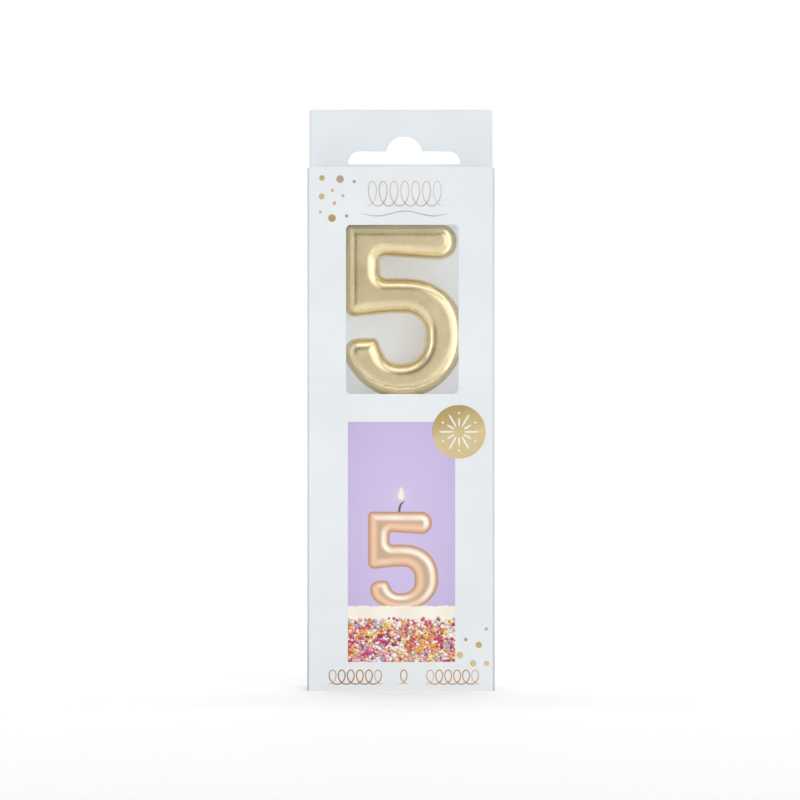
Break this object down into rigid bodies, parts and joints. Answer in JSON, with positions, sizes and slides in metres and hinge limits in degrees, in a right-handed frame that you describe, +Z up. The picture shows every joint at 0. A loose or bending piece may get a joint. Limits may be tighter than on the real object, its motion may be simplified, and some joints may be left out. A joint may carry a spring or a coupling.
{
  "type": "number birthday candle",
  "caption": "Number five birthday candle with wick and cake pick, in a slim windowed hanging carton with tuck lids.",
  "frame": {"origin": "middle of the carton's base, where it stands", "axes": "+Z up along the carton, +X to the right seen from the front, -Y out of the windowed front"},
  "size_m": [0.053, 0.0201, 0.166],
  "materials": {
    "card": "satin",
    "insert_card": "matte",
    "film": "gloss",
    "foil": "satin",
    "gold_wax": "metallic gloss lacquer over wax",
    "wick_cotton": "matte",
    "pick_plastic": "satin"
  },
  "bodies": {
    "carton": {"front_panel": "card", "left_panel": "card", "right_panel": "card", "back_panel": "card", "hang_tab_liner": "card", "glue_flap": "card", "window_film": "film", "foil_seal": "foil", "support_insert": "insert_card"},
    "top_lid": {"top_lid": "card"},
    "top_lip": {"top_lip": "card"},
    "top_flap_left": {"top_flap_left": "card"},
    "top_flap_right": {"top_flap_right": "card"},
    "bottom_lid": {"bottom_lid": "card"},
    "bottom_lip": {"bottom_lip": "card"},
    "bottom_flap_left": {"bottom_flap_left": "card"},
    "bottom_flap_right": {"bottom_flap_right": "card"},
    "candle": {"wax_numeral": "gold_wax", "wick": "wick_cotton", "pick": "pick_plastic"}
  },
  "joints": [
    {"name": "top_lid_fold", "type": "hinge", "parent": "carton", "child": "top_lid", "pos_m": [0, -0.00978, 0.14777], "axis": [1, 0, 0], "range_deg": [0, 200]},
    {"name": "top_lip_fold", "type": "hinge", "parent": "top_lid", "child": "top_lip", "pos_m": [0, 0.00873, 0.14777], "axis": [1, 0, 0], "range_deg": [0, 40]},
    {"name": "top_flap_left_fold", "type": "hinge", "parent": "carton", "child": "top_flap_left", "pos_m": [-0.02627, 0, 0.14727], "axis": [0, -1, 0], "range_deg": [0, 120]},
    {"name": "top_flap_right_fold", "type": "hinge", "parent": "carton", "child": "top_flap_right", "pos_m": [0.02627, 0, 0.14727], "axis": [0, 1, 0], "range_deg": [0, 120]},
    {"name": "candle_lift", "type": "slide", "parent": "carton", "child": "candle", "axis": [0, 0, 1], "range_m": [0, 0.053]},
    {"name": "bottom_lid_fold", "type": "hinge", "parent": "carton", "child": "bottom_lid", "pos_m": [0, 0.00978, 0.00022], "axis": [1, 0, 0], "range_deg": [0, 200]},
    {"name": "bottom_lip_fold", "type": "hinge", "parent": "bottom_lid", "child": "bottom_lip", "pos_m": [0, -0.00918, 0.00022], "axis": [1, 0, 0], "range_deg": [0, 40]},
    {"name": "bottom_flap_left_fold", "type": "hinge", "parent": "carton", "child": "bottom_flap_left", "pos_m": [-0.02627, 0, 0.00072], "axis": [0, 1, 0], "range_deg": [0, 180]},
    {"name": "bottom_flap_right_fold", "type": "hinge", "parent": "carton", "child": "bottom_flap_right", "pos_m": [0.02627, 0, 0.00072], "axis": [0, -1, 0], "range_deg": [0, 180]}
  ],
  "couplings": [
    {"joint": "top_lid_fold", "follows": "candle_lift", "rad_per_m": 65.86},
    {"joint": "top_lip_fold", "follows": "candle_lift", "rad_per_m": 13.17},
    {"joint": "top_flap_left_fold", "follows": "candle_lift", "rad_per_m": 39.51},
    {"joint": "top_flap_right_fold", "follows": "candle_lift", "rad_per_m": 39.51},
    {"joint": "bottom_lip_fold", "follows": "bottom_lid_fold", "ratio": 0.2},
    {"joint": "bottom_flap_left_fold", "follows": "bottom_lid_fold", "ratio": 0.9},
    {"joint": "bottom_flap_right_fold", "follows": "bottom_lid_fold", "ratio": 0.9}
  ]
}
